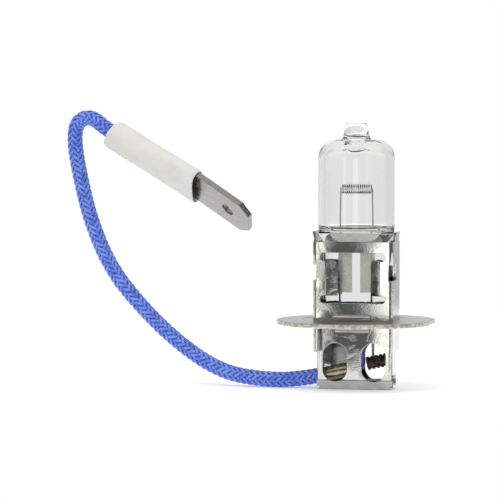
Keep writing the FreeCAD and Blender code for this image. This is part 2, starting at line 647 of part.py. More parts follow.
def lead():
    """The stranded conductor, its insulation and the braid, all along one route."""
    whole, radii = lead_path()
    print("lead length", round(whole.Length, 2), "radii", [round(r, 1) for r in radii])
    stripped, _ = lead_path(size["crimp_gap"] + size["conductor_grip"], size["strip_length"])
    short, _ = lead_path(0.0, size["insulation_end"])
    shapes = {
        "lead_conductor": swept(stripped, size["conductor_radius"]),
        "lead_insulation":
            swept(short, size["insulation_radius"]).cut(swept(short, size["insulation_bore"])),
        "lead_braid": swept(whole, size["braid_radius"]).cut(swept(whole, size["braid_bore"])),
    }
    section = math.pi * (size["braid_radius"] ** 2 - size["braid_bore"] ** 2)
    print("braid volume", round(shapes["lead_braid"].Volume, 2),
          "section x length", round(section * whole.Length, 2))
    return {name: feature(name, shape) for name, shape in shapes.items()}


def feature(name, shape):
    thing = doc.addObject("Part::Feature", name)
    thing.Shape = shape
    return thing


def live_joint():
    """The crimp in the holder, the live wire that loops into it, and the wire's sleeving."""
    first, second = FreeCAD.Vector(*LEAD_ROUTE[0]), FreeCAD.Vector(*LEAD_ROUTE[1])
    inward = (first - second).normalize()
    back = first + inward * size["crimp_gap"]
    front = back + inward * size["crimp_length"]
    crimp = cut("live_crimp", cylinder("crimp_outside", "crimp_radius", "crimp_length"),
                cylinder("crimp_inside", "crimp_bore", "crimp_length"))
    crimp.Placement = FreeCAD.Placement(back, FreeCAD.Rotation(Z_AXIS, inward))

    x, y, _ = LIVE_WIRE_CORNERS[0]
    wire_end, sleeving_end = front - inward * size["wire_grip"], front + inward * size["sleeving_gap"]
    wire = bent_path([(x, y, size["wire_high"]), *LIVE_WIRE_CORNERS, wire_end], LIVE_WIRE_BENDS)
    cover = bent_path([(x, y, size["sleeving_high"]), *LIVE_WIRE_CORNERS, sleeving_end], LIVE_WIRE_BENDS)
    sleeving = swept(cover, size["sleeving_radius"]).cut(swept(cover, size["sleeving_bore"]))
    return {"live_crimp": crimp,
            "lead_wire_live": feature("lead_wire_live", swept(wire, size["wire_radius"])),
            "live_lead_insulator": feature("live_lead_insulator", sleeving)}


def ground_joint(wire):
    """A ribbed ferrule crimped on the ground wire, and the strap to the holder's side wall."""
    start = "-ferrule_length / 2"
    parts = [cylinder("ferrule_core", "ferrule_groove", "ferrule_length", (start, "0", "0"), X_AXIS)]
    for number in range(GROUND_RIBS):
        x = f"{start} + (ferrule_length - ferrule_rib) * {number} / {GROUND_RIBS - 1}"
        parts.append(cylinder(f"ferrule_rib_{number}", "ferrule_radius", "ferrule_rib", (x, "0", "0"),
                              X_AXIS))
    ribbed = fuse("ferrule_ribbed", *parts)
    room = doc.addObject("Part::Compound", "ferrule_room")
    room.Links = [cylinder("ferrule_around", "ferrule_radius + strap_gap", "ferrule_length + 2 * strap_gap",
                           (f"{start} - strap_gap", "0", "0"), X_AXIS)]
    for thing in (ribbed, room):
        place(thing, "ferrule_x", "0", "ferrule_z", Y_AXIS, -size["ferrule_tilt"])
    strap = block("strap_blank", ("strap_start", "holder_width / 2 - sheet_metal"),
                  ("-strap_half", "strap_half"), ("strap_low", "strap_high"))
    return {"ground_ferrule": cut("ground_ferrule", ribbed, wire),
            "ground_strap": cut("ground_strap", strap, room)}


def terminal_frame():
    """Where the terminal's own X, Y and Z point: along the blade, across it, and out of its face."""
    along = FreeCAD.Vector(ALONG_BLADE).normalize()
    across = (ACROSS_BLADE - along * (ACROSS_BLADE * along)).normalize()
    return FreeCAD.Placement(MOUTH, FreeCAD.Rotation(along, across, along.cross(across), "XYZ"))


def blade_terminal():
    """A blade with chamfered corners and a detent hole, and the barrel crimped on the conductor."""
    owner = body("blade")
    drawing = sketch(owner, "blade_outline", "XY")
    outline(drawing, [("-blade_root", "-blade_half"), ("blade_straight", "-blade_half"),
                      ("blade_length", "-nose_half"), ("blade_length", "nose_half"),
                      ("blade_straight", "blade_half"), ("-blade_root", "blade_half")])
    drawing.AttachmentOffset = FreeCAD.Placement(
        FreeCAD.Vector(0, 0, -size["blade_thickness"] / 2), FreeCAD.Rotation())
    plate = owner.newObject("PartDesign::Pad", "blade_plate")
    plate.Profile = drawing
    bind(plate, "Length", "blade_thickness")

    barrel = cylinder("barrel_outside", "barrel_radius", "barrel_back - barrel_front",
                      ("-barrel_back", "0", "barrel_z"), X_AXIS)
    doc.recompute()
    nose = doc.addObject("Part::Fillet", "barrel_nose")
    nose.Base = barrel
    rims = [(n, e) for n, e in enumerate(barrel.Shape.Edges, start=1) if isinstance(e.Curve, Part.Circle)]
    front = max(rims, key=lambda rim: rim[1].CenterOfMass.x)[0]
    nose.Edges = [(front, size["barrel_round"], size["barrel_round"])]
    neck = block("terminal_neck", ("-neck_back", "-blade_root"), ("-neck_half", "neck_half"),
                 ("-blade_thickness / 2", "blade_thickness / 2"))
    bore = cylinder("barrel_inside", "barrel_bore", "barrel_back - neck_back",
                    ("-barrel_back", "0", "barrel_z"), X_AXIS)
    detent = cylinder("detent_hole", "detent_radius", "2 * blade_thickness",
                      ("blade_length - detent_from_tip", "0", "-blade_thickness"))
    whole = cut("blade_terminal", fuse("blade_and_barrel", owner, neck, nose), bore, detent)
    whole.Placement = terminal_frame()
    return whole


def boot_section(x, half_width, half_depth, corner):
    """A rounded rectangle across the white sleeve at x, centred on the sleeve's slanting axis."""
    axis_z = size["boot_mouth_z"] - (size["boot_back_z"] - size["boot_mouth_z"]) * x / size["boot_length"]
    flat_y, flat_z = half_width - corner, half_depth - corner
    edges = []
    spots = []
    for number in range(4):
        sign_y, sign_z = ((1, 1), (-1, 1), (-1, -1), (1, -1))[number]
        middle = FreeCAD.Vector(x, sign_y * flat_y, axis_z + sign_z * flat_z)
        turn = math.pi / 2 * number
        arc = []
        for angle in (0, math.pi / 4, math.pi / 2):
            arc.append(middle + FreeCAD.Vector(0, math.cos(turn + angle), math.sin(turn + angle)) * corner)
        spots.append(arc)
    for number, arc in enumerate(spots):
        edges.append(Part.Arc(*arc).toShape())
        edges.append(Part.LineSegment(arc[2], spots[(number + 1) % 4][0]).toShape())
    return Part.Wire(edges)


def terminal_sleeve():
    """The white sleeve: round at the lead, pressed flat over the blade's root."""
    back, flat_start = -size["boot_length"], -size["boot_flat"]
    round_end = back + size["boot_round"]
    mouth = (size["boot_mouth_half"], size["boot_mouth_depth"], size["boot_corner"])
    inner_mouth = [value - size["boot_wall"] for value in mouth]
    shapes = []
    for radius, ending, over in ((size["boot_radius"], mouth, 0.0),
                                 (size["boot_bore"], inner_mouth, size["boot_over"])):
        near_round = (radius, radius, radius * (1 - size["boot_sharpness"]))
        sections = [boot_section(back - over, *near_round), boot_section(round_end, *near_round),
                    boot_section(flat_start, *ending), boot_section(over, *ending)]
        shapes.append(Part.makeLoft(sections, True, True))
    piece = doc.addObject("Part::Feature", "terminal_sleeve")
    piece.Shape = shapes[0].cut(shapes[1])
    piece.Placement = terminal_frame()
    return piece


nodes = filament()
nodes.update(live_joint())
sealed = [nodes[name] for name in ("filament_leg_live", "filament_leg_ground", "seal_foil_live",
                                   "seal_foil_ground", "lead_wire_live", "lead_wire_ground")]
nodes["quartz_envelope"] = quartz_envelope(sealed)
nodes["outer_sleeve"] = outer_sleeve()
nodes["prefocus_flange"] = prefocus_flange()
nodes["inner_holder"] = inner_holder()
nodes.update(ground_joint(nodes["lead_wire_ground"]))
nodes.update(lead())
nodes["blade_terminal"] = blade_terminal()
nodes["terminal_sleeve"] = terminal_sleeve()
doc.recompute()

os.makedirs("parts", exist_ok=True)
for thing in doc.Objects:
    if "Invalid" in thing.State or "Error" in thing.State:
        raise RuntimeError(f"{thing.Name} failed: {thing.State}")
for name, thing in nodes.items():
    thing.Label = name
    if thing.Shape.isNull() or not thing.Shape.isValid():
        raise RuntimeError(f"{name} has no valid shape")
for name, thing in nodes.items():
    shape = thing.Shape
    print(f"{name:22s} solids {len(shape.Solids)} volume {shape.Volume:9.3f}")
    shape.exportStep(f"parts/{name}.step")
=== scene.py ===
import math

import bmesh
import bpy
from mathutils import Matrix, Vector, noise


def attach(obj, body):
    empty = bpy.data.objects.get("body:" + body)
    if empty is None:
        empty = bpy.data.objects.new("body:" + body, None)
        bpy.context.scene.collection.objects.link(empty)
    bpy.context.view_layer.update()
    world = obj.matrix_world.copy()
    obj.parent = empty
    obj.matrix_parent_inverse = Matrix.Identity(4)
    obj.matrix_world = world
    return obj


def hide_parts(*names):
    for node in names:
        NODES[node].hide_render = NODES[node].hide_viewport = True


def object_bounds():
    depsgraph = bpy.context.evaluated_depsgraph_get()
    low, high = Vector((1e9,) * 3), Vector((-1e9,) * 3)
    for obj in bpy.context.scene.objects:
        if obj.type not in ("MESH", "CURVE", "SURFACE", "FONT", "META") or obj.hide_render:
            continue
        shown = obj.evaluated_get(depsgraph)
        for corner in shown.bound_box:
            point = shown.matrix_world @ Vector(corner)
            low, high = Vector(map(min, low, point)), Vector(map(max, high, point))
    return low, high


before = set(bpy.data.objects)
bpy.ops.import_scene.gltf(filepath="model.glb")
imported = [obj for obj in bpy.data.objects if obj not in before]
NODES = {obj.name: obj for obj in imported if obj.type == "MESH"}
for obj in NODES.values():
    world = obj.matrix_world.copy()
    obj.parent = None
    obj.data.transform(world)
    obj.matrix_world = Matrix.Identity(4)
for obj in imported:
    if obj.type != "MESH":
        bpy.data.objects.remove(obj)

# Lengths are in millimetres. Inside the materials, places are in metres.
CAD_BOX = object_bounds()
MM = 0.001
FLOOR_Z = CAD_BOX[0].z / MM

# The camera: a long lens at the object's height.
LOOK_AT = Vector((-14.37, -3.03, 9.57))
CAMERA_AZIMUTH, CAMERA_ELEVATION = math.radians(11.9), math.radians(3.0)
CAMERA_DISTANCE = 500.0
VIEW_WIDTH = 68.97  # what the view spans at that distance

# The lead's route, as in the CAD model.
LEAD_ROUTE = [
    (-4.95, 0.00, -7.80),
    (-8.30, 0.00, -8.50),
    (-13.33, 0.10, -8.56),
    (-19.13, 0.60, -7.70),
    (-25.27, 1.20, -4.00),
    (-31.14, 1.70, 1.35),
    (-35.59, 2.20, 6.68),
    (-38.51, 2.60, 13.25),
    (-40.05, 2.70, 19.57),
    (-40.72, 2.60, 23.51),
    (-40.67, 2.50, 26.35),
    (-39.56, 2.30, 27.60),
    (-37.81, 1.90, 27.67),
    (-35.84, 1.08, 26.13),
    (-32.51, 0.58, 24.37),
    (-30.48, 0.06, 23.09),
]
LEAD_LENGTH, LEAD_RADIUS = 69.1, 1.08

# The terminal's own frame: along the blade, across it, and out of its face.
MOUTH = Vector((-21.93, -1.71, 18.29))
ALONG = Vector((0.827, -0.211, -0.521)).normalized()
ACROSS = Vector((0.149, -0.811, 0.566))
ACROSS = (ACROSS - ALONG * ACROSS.dot(ALONG)).normalized()
OUT = ALONG.cross(ACROSS)

# The white sleeve: its axis stands a little off the blade's and rises on the way to the lead.
SLEEVE_LENGTH, SLEEVE_SIDES = 15.0, 56
SLEEVE_OFFSET, SLEEVE_RISE = 0.2, 0.8

# The capsule. Its pinch is a thin web with a rib along each side. Higher up it first widens, and
# then rounds out into the bulb.
CAPSULE_SIDES = 128
BULB_RADIUS, CAVITY_RADIUS = 5.25, 4.4
PINCH_HALF_WIDTH, PINCH_WIDENING = 4.3, 0.95
PINCH_WEB, PINCH_RIB = 1.02, 1.38
RIB_START, RIB_RAMP = 2.05, 0.75
WIDENS_FROM, WIDENS_OVER = 10.4, 1.4
ROUNDS_FROM, ROUNDS_OVER = 12.1, 0.40

# The coil stands across the bulb. The live leg is on the side where the CAD model has it.
COIL_Z = 18.0
LIVE_SIDE = math.copysign(1.0, NODES["filament_leg_live"].bound_box[0][0])

# How the sheet metal's edges are eased: those sharper than EDGE_ANGLE, once facets that lie
# within FLAT_ANGLE of each other are one face.
EDGE_WIDTH, EDGE_SEGMENTS = 0.06, 3
EDGE_ANGLE, FLAT_ANGLE = math.radians(32.0), math.radians(0.6)

# Sockets of the Mix node by number, since those for colours and for numbers share their names.
COLOR_A, COLOR_B, COLOR_MIXED = 6, 7, 2
NUMBER_A, NUMBER_B, NUMBER_MIXED = 2, 3, 0


def terminal_point(x, y, z):
    return MOUTH + ALONG * x + ACROSS * y + OUT * z


def clamped(value, low=0.0, high=1.0):
    return min(max(value, low), high)


# ---------------------------------------------------------------- meshes

def in_scene(name, data):
    """A new object in the scene."""
    made = bpy.data.objects.new(name, data)
    bpy.context.scene.collection.objects.link(made)
    return made


def shade(data, smooth=True):
    for face in data.polygons:
        face.use_smooth = smooth


def mesh_object(name, points, faces, smooth=True):
    data = bpy.data.meshes.new(name)
    data.from_pydata([tuple(Vector(p) * MM) for p in points], [], faces)
    data.update()
    shade(data, smooth)
    return in_scene(name, data)


def rings_object(name, rings, loop=False):
    """A skin over rings of equal length, capped at both ends, or closed on itself in a loop."""
    count = len(rings[0])
    points = [p for ring in rings for p in ring]
    faces = []
    for row in range(len(rings) if loop else len(rings) - 1):
        low, high = row * count, (row + 1) % len(rings) * count
        for column in range(count):
            after = (column + 1) % count
            faces.append((low + column, low + after, high + after, high + column))
    if not loop:
        faces.append(tuple(reversed(range(count))))
        faces.append(tuple((len(rings) - 1) * count + i for i in range(count)))
    return mesh_object(name, points, faces)


def carried_frames(points):
    """A direction, a side and an up for each point, carried along without twist."""
    directions = []
    for number in range(len(points)):
        before = points[max(number - 1, 0)]
        after = points[min(number + 1, len(points) - 1)]
        directions.append((after - before).normalized())
    side = directions[0].orthogonal().normalized()
    frames = []
    for number, direction in enumerate(directions):
        if number:
            side = directions[number - 1].rotation_difference(direction) @ side
        side = (side - direction * side.dot(direction)).normalized()
        frames.append((direction, side, direction.cross(side)))
    return frames


def tube(name, points, radius, sides):
    """A round tube along a line."""
    rings = []
    for here, (_, side, up) in zip(points, carried_frames(points)):
        ring = []
        for corner in range(sides):
            angle = 2 * math.pi * corner / sides
            ring.append(here + side * math.cos(angle) * radius + up * math.sin(angle) * radius)
        rings.append(ring)
    return rings_object(name, rings)


def smooth_line(name, points):
    """Points along the NURBS spline of a route."""
    curve = bpy.data.curves.new(name, "CURVE")
    curve.dimensions = "3D"
    spline = curve.splines.new("NURBS")
    spline.points.add(len(points) - 1)
    for slot, point in zip(spline.points, points):
        slot.co = (*point, 1.0)
    spline.order_u = 3
    spline.use_endpoint_u = True
    spline.resolution_u = 24
    holder = in_scene(name, curve)
    bpy.context.view_layer.update()
    read = bpy.data.meshes.new_from_object(holder)
    line = [v.co.copy() for v in read.vertices]
    bpy.data.objects.remove(holder)
    bpy.data.curves.remove(curve)
    bpy.data.meshes.remove(read)
    return line


def even_line(points, step):
    """The same line with points an even step apart."""
    lengths = [0.0]
    for before, after in zip(points, points[1:]):
        lengths.append(lengths[-1] + (after - before).length)
    count = max(2, round(lengths[-1] / step) + 1)
    line, place = [], 0
    for number in range(count):
        wanted = lengths[-1] * number / (count - 1)
        while place < len(points) - 2 and lengths[place + 1] < wanted:
            place += 1
        share = (wanted - lengths[place]) / max(lengths[place + 1] - lengths[place], 1e-9)
        line.append(points[place].lerp(points[place + 1], clamped(share)))
    return line


def join(name, pieces):
    """One mesh object from several."""
    data = bpy.data.meshes.new(name)
    whole = bmesh.new()
    for piece in pieces:
        whole.from_mesh(piece.data)
    whole.to_mesh(data)
    whole.free()
    for piece in pieces:
        bpy.data.objects.remove(piece)
    shade(data)
    return in_scene(name, data)


def finish_piece(piece, body, material, slot, *nodes):
    piece.data.materials.clear()
    piece.data.materials.append(material)
    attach(piece, body)
    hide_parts(*nodes)


# ---------------------------------------------------------------- materials

class Material:
    """A node material with short calls for the nodes that repeat."""

    def __init__(self, name, color, metallic=0.0, roughness=0.5):
        self.made = bpy.data.materials.new(name)
        self.made.use_nodes = True
        self.tree = self.made.node_tree
        self.shader = self.tree.nodes["Principled BSDF"]
        self.fix("Base Color", (*color, 1.0))
        self.fix("Metallic", metallic)
        self.fix("Roughness", roughness)
        self.place = self.tree.nodes.new("ShaderNodeTexCoord").outputs["Object"]

    def fix(self, socket, value):
        """One value all over the surface."""
        self.shader.inputs[socket].default_value = value

    def to(self, socket, value):
        """A value that varies over the surface."""
        self.link(value, self.shader.inputs[socket])

    def node(self, kind, **settings):
        made = self.tree.nodes.new("ShaderNode" + kind)
        for key, value in settings.items():
            setattr(made, key, value)
        return made

    def link(self, source, target):
        self.tree.links.new(source, target)

    def along_axes(self):
        """How far a point is along x, y and z."""
        parts = self.node("SeparateXYZ")
        self.link(self.place, parts.inputs[0])
        return parts.outputs

    def stretched(self, scale, rotation=(0, 0, 0)):
        mapping = self.node("Mapping")
        mapping.inputs["Scale"].default_value = scale
        mapping.inputs["Rotation"].default_value = rotation
        self.link(self.place, mapping.inputs["Vector"])
        return mapping.outputs["Vector"]

    def noise(self, scale, detail=3.0, rough=0.5, vector=None, distortion=0.0):
        made = self.node("TexNoise")
        made.inputs["Scale"].default_value = scale
        made.inputs["Detail"].default_value = detail
        made.inputs["Roughness"].default_value = rough
        made.inputs["Distortion"].default_value = distortion
        self.link(vector or self.place, made.inputs["Vector"])
        return made.outputs["Fac"]

    def ramp(self, value, *stops):
        """Colours by value. Each stop is (place, colour or grey)."""
        made = self.node("ValToRGB")
        band = made.color_ramp
        while len(band.elements) < len(stops):
            band.elements.new(0.5)
        for element, (place, color) in zip(band.elements, stops):
            element.position = place
            element.color = (*(color if isinstance(color, tuple) else (color,) * 3), 1.0)
        self.link(value, made.inputs["Fac"])
        return made.outputs["Color"]

    def span(self, value, low, high, source=(0.3, 0.7)):
        """Map a value's range to another. Most noise lies between 0.3 and 0.7."""
        made = self.node("MapRange")
        for key, number in zip(("From Min", "From Max", "To Min", "To Max"), (*source, low, high)):
            made.inputs[key].default_value = number
        self.link(value, made.inputs["Value"])
        return made.outputs["Result"]

    def product(self, one, other):
        made = self.node("Math", operation="MULTIPLY")
        self.link(one, made.inputs[0])
        self.link(other, made.inputs[1])
        return made.outputs[0]

    def bump(self, height, depth, normal=None):
        """depth is in millimetres for a height of 1."""
        made = self.node("Bump")
        made.inputs["Strength"].default_value = 1.0
        made.inputs["Distance"].default_value = depth * MM
        self.link(height, made.inputs["Height"])
        if normal is not None:
            self.link(normal, made.inputs["Normal"])
        return made.outputs["Normal"]


def plated_steel():
    """Bright nickel-plated sheet, slightly bulged by the press, with dull pitted patches."""
    steel = Material("plated_steel", (0.57, 0.565, 0.545), metallic=1.0, roughness=0.12)
    x = steel.along_axes()[0]
    edge_squared = 3.6e-5  # the bulge falls to nothing 6 mm from the axis
    bulge = steel.span(steel.product(x, x), 0.0, -1.0, (0.0, edge_squared))
    waves = steel.noise(210, detail=1.0)
    patches = steel.noise(330, detail=4.0, rough=0.6, distortion=0.5)
    dull = steel.span(patches, 0.0, 1.0, (0.44, 0.58))
    pitted = steel.span(dull, 0.25, 1.0, (0.0, 1.0))
    pits = steel.product(steel.noise(5200, detail=3.0, rough=0.65), pitted)
    steel.to("Roughness", steel.span(dull, 0.03, 0.07, (0.0, 1.0)))
    steel.to("Base Color", steel.ramp(dull,
                                      (0.0, (0.60, 0.595, 0.575)), (1.0, (0.50, 0.515, 0.50))))
    normal = steel.bump(bulge, 0.42)
    normal = steel.bump(waves, 0.06, normal)
    steel.to("Normal", steel.bump(pits, 0.018, normal))
    return steel.made


def flange_steel():
    """The flange, brushed and matt on its face; its rim, cut in the press, is spotted and bright in
    colour by distance from the axis, partly the bare cut metal and partly a painted highlight.
    """
    steel = Material("brushed_flange", (0.56, 0.56, 0.55), metallic=1.0, roughness=0.34)
    grain = steel.noise(900, detail=4.0, rough=0.7, vector=steel.stretched((1.0, 9.0, 9.0)))
    spots = steel.noise(1300, detail=3.0, rough=0.6)
    from_axis = steel.node("VectorMath", operation="LENGTH")
    steel.link(steel.stretched((1.0, 1.0, 0.0)), from_axis.inputs[0])
    face = steel.ramp(steel.noise(300, detail=3.0),
                      (0.30, (0.50, 0.50, 0.49)), (0.70, (0.62, 0.62, 0.61)))
    # the rim's light colour is partly the bare cut metal and partly a painted highlight
    bare_rim_and_painted_highlight = steel.ramp(spots, (0.36, (0.50, 0.48, 0.42)), (0.60, (0.86, 0.84, 0.76)))
    rim = steel.span(from_axis.outputs["Value"], 0.0, 1.0, (0.01086, 0.01092))
    color = steel.node("Mix", data_type="RGBA")
    steel.link(rim, color.inputs["Factor"])
    steel.link(face, color.inputs[COLOR_A])
    steel.link(bare_rim_and_painted_highlight, color.inputs[COLOR_B])
    rough = steel.node("Mix", data_type="FLOAT")
    rough.inputs[NUMBER_B].default_value = 0.62
    steel.link(rim, rough.inputs["Factor"])
    steel.link(steel.span(grain, 0.24, 0.42), rough.inputs[NUMBER_A])
    steel.to("Roughness", rough.outputs[NUMBER_MIXED])
    steel.to("Base Color", color.outputs[COLOR_MIXED])
    steel.to("Normal", steel.bump(grain, 0.006))
    return steel.made


def terminal_metal():
    """Tinned brass blade: satin, with streaks and fine spots."""
    metal = Material("terminal_plate", (0.56, 0.55, 0.51), metallic=1.0, roughness=0.3)
    streaks = metal.noise(700, detail=5.0, rough=0.7,
                          vector=metal.stretched((1.0, 1.0, 3.0), (0.3, 0.5, 0.2)))
    spots = metal.noise(1500, detail=4.0, rough=0.7)
    metal.to("Roughness", metal.span(streaks, 0.22, 0.42))
    metal.to("Base Color", metal.ramp(streaks,
                                      (0.32, (0.28, 0.275, 0.26)), (0.66, (0.42, 0.415, 0.40))))
    metal.to("Normal", metal.bump(spots, 0.012))
    return metal.made


def wire_metal(name, dark, light, roughness):
    metal = Material(name, light, metallic=1.0, roughness=roughness)
    patches = metal.noise(1800, detail=4.0, rough=0.7)
    metal.to("Base Color", metal.ramp(patches, (0.35, dark), (0.65, light)))
    metal.to("Roughness", metal.span(patches, roughness - 0.08, roughness + 0.12))
    metal.to("Normal", metal.bump(patches, 0.01))
    return metal.made


def coil_wire():
    """Tungsten wire with painted light and shade: painted bright on the front and back of the
    turns, painted dark over and under them, by height about the coil's axis.
    """
    wire = Material("tungsten_coil", (0.5, 0.5, 0.5), metallic=0.0, roughness=0.5)
    middle, half_height = COIL_Z * MM, 0.0006
    z = wire.along_axes()[2]
    rise = wire.span(z, -1.0, 1.0, (middle - half_height, middle + half_height))
    painted_shade_off_middle = wire.node("Math", operation="ABSOLUTE")
    wire.link(rise, painted_shade_off_middle.inputs[0])
    # colour by height: a painted highlight at the middle of the coil, painted shade above and below
    # it
    wire.to("Base Color", wire.ramp(painted_shade_off_middle.outputs[0], (0.30, 0.80), (0.50, 0.02)))
    return wire.made


def clear_quartz():
    quartz = Material("quartz", (0.985, 0.99, 0.985), roughness=0.0)
    quartz.fix("Transmission Weight", 1.0)
    quartz.fix("IOR", 1.46)
    streaks = quartz.noise(160, detail=2.0, vector=quartz.stretched((1.0, 1.0, 0.25)))
    quartz.to("Normal", quartz.bump(streaks, 0.035))
    return quartz.made


def white_rubber():
    """The insulating sleeve: matt ivory with a slight grain and faint grubby patches."""
    rubber = Material("white_sleeving", (0.60, 0.60, 0.57), roughness=0.55)
    rubber.fix("Subsurface Weight", 0.25)
    rubber.fix("Subsurface Radius", (0.002, 0.0016, 0.0012))
    patches = rubber.noise(350, detail=4.0, rough=0.6)
    grain = rubber.noise(3200, detail=3.0)
    rubber.to("Base Color", rubber.ramp(patches,
                                        (0.30, (0.60, 0.60, 0.56)), (0.65, (0.655, 0.655, 0.62))))
    rubber.to("Roughness", rubber.span(grain, 0.48, 0.68))
    rubber.to("Normal", rubber.bump(grain, 0.02, rubber.bump(patches, 0.05)))
    return rubber.made


def blue_yarn():
    """Glass-fibre yarn with a soft sheen, with a painted highlight along the top of each strand and
    painted shade at its edges.
    """
    yarn = Material("blue_braid", (0.06, 0.13, 0.66), roughness=0.45)
    yarn.fix("Sheen Weight", 0.35)
    yarn.fix("Sheen Roughness", 0.4)
    lots = yarn.noise(900, detail=4.0, rough=0.7)
    fibres = yarn.noise(5200, detail=3.0, rough=0.7)
    crown_painted_highlight = yarn.node("Attribute", attribute_name="crown_painted_highlight").outputs["Fac"]
    # the colour is lighter on each strand's top and darker at its edges: a painted highlight and
    # painted shade
    yarn.to("Base Color", yarn.ramp(yarn.product(crown_painted_highlight, yarn.span(lots, 0.45, 1.35)),
                                    (0.05, (0.012, 0.035, 0.33)), (0.50, (0.045, 0.115, 0.56)),
                                    (0.95, (0.17, 0.27, 0.75))))
    yarn.to("Roughness", yarn.span(fibres, 0.32, 0.60))
    yarn.to("Normal", yarn.bump(fibres, 0.03))
    return yarn.made


def plain_rubber(name, dark, light, roughness=0.6):
    rubber = Material(name, light, roughness=roughness)
    patches = rubber.noise(1200, detail=4.0)
    rubber.to("Base Color", rubber.ramp(patches, (0.3, dark), (0.7, light)))
    rubber.to("Normal", rubber.bump(patches, 0.02))
    return rubber.made


# ---------------------------------------------------------------- stage

def stage():
    camera = bpy.data.cameras.new("camera")
    camera.sensor_width = 36.0
    camera.lens = camera.sensor_width * CAMERA_DISTANCE / VIEW_WIDTH
    camera.clip_start, camera.clip_end = 0.01, 20.0
    holder = in_scene("camera", camera)
    back = Vector((math.sin(CAMERA_AZIMUTH) * math.cos(CAMERA_ELEVATION),
                   -math.cos(CAMERA_AZIMUTH) * math.cos(CAMERA_ELEVATION),
                   math.sin(CAMERA_ELEVATION)))
    holder.location = (LOOK_AT + back * CAMERA_DISTANCE) * MM
    holder.rotation_euler = back.to_track_quat("Z", "Y").to_euler()
    bpy.context.scene.camera = holder

    # the floor ends a little in front of the object, so that the metal shows the dark room there
    side, front, back_edge = 400.0, -45.0, 160.0
    corners = [(-side, front, FLOOR_Z), (side, front, FLOOR_Z),
               (side, back_edge, FLOOR_Z), (-side, back_edge, FLOOR_Z)]
    floor = mesh_object("floor", corners, [(0, 1, 2, 3)], smooth=False)
    paper = Material("floor_paper", (0.93, 0.93, 0.93), roughness=0.9)
    paper.fix("Emission Color", (1.0, 1.0, 1.0, 1.0))
    paper.fix("Emission Strength", 0.20)
    floor.data.materials.append(paper.made)

    # name, place, size and power in watts
    for name, place, size, power in (
        ("key", (-160, -260, 420), 300, 0.7),
        ("fill", (260, -120, 300), 240, 0.25),
    ):
        light = bpy.data.lights.new(name, "AREA")
        light.size, light.energy = size * MM, power
        lamp = in_scene(name, light)
        lamp.location = Vector(place) * MM
        lamp.rotation_euler = Vector(place).to_track_quat("Z", "Y").to_euler()
        lamp.visible_glossy = lamp.visible_transmission = False
    sky()


def sky():
    """What the metal and the glass show: a dark room with two light panels in front of the object,
    a grey backdrop behind it and a warm grey ceiling. The camera itself sees plain white, and
    diffuse rays and rays through glass get a brightness of their own."""
    world = bpy.data.worlds.new("tent")
    bpy.context.scene.world = world
    world.use_nodes = True
    tree = world.node_tree
    tree.nodes.clear()

    def add(kind, **settings):
        node = tree.nodes.new("ShaderNode" + kind)
        for key, value in settings.items():
            setattr(node, key, value)
        return node

    def ease(value, low, high):
        """0 at low, 1 at high, and smooth between them."""
        node = add("MapRange", interpolation_type="SMOOTHSTEP")
        node.inputs["From Min"].default_value = low
        node.inputs["From Max"].default_value = high
        tree.links.new(value, node.inputs["Value"])
        return node.outputs["Result"]

    def times(one, other):
        node = add("Math", operation="MULTIPLY")
        tree.links.new(one, node.inputs[0])
        tree.links.new(other, node.inputs[1])
        return node.outputs[0]

    def mixed(share, low, high):
        """Two colours, or what other nodes make of them, mixed by a share or a node's value."""
        node = add("Mix", data_type="RGBA")
        if isinstance(share, float):
            node.inputs["Factor"].default_value = share
        else:
            tree.links.new(share, node.inputs["Factor"])
        for socket, value in ((node.inputs[COLOR_A], low), (node.inputs[COLOR_B], high)):
            if isinstance(value, tuple):
                socket.default_value = (*value, 1.0)
            else:
                tree.links.new(value, socket)
        return node.outputs[COLOR_MIXED]

    parts = add("SeparateXYZ")
    tree.links.new(add("TexCoord").outputs["Generated"], parts.inputs[0])
    toward_right, toward_back, height = parts.outputs
    backdrop = ease(toward_back, 0.42, 0.68)
    ceiling = ease(height, 0.50, 0.74)
    panel_height = times(ease(height, -0.34, -0.28), ease(height, 0.10, 0.04))
    in_front = times(panel_height, ease(toward_back, -0.35, -0.55))
    left_width = times(ease(toward_right, -0.55, -0.49), ease(toward_right, -0.36, -0.42))
    right_width = times(ease(toward_right, -0.06, 0.0), ease(toward_right, 0.28, 0.20))

    room, panel, warm = (0.15, 0.155, 0.15), (2.2, 2.2, 2.1), (0.84, 0.81, 0.72)
    behind = mixed(ease(toward_right, 0.10, 0.20), (0.80, 0.80, 0.80), (0.48, 0.48, 0.48))
    color = mixed(backdrop, room, behind)
    color = mixed(times(left_width, in_front), color, panel)
    color = mixed(times(right_width, in_front), color, panel)
    color = mixed(ceiling, color, warm)
    rays = add("LightPath")
    through_glass = mixed(0.75, color, (0.81, 0.81, 0.80))
    color = mixed(rays.outputs["Is Transmission Ray"], color, through_glass)
    color = mixed(rays.outputs["Is Diffuse Ray"], color, (0.92, 0.92, 0.92))
    color = mixed(rays.outputs["Is Camera Ray"], color, (1.0, 1.0, 1.0))
    background = add("Background")
    tree.links.new(color, background.inputs["Color"])
    tree.links.new(background.outputs[0], add("OutputWorld").inputs["Surface"])
    bpy.context.scene.view_settings.view_transform = "Standard"


# ---------------------------------------------------------------- lead

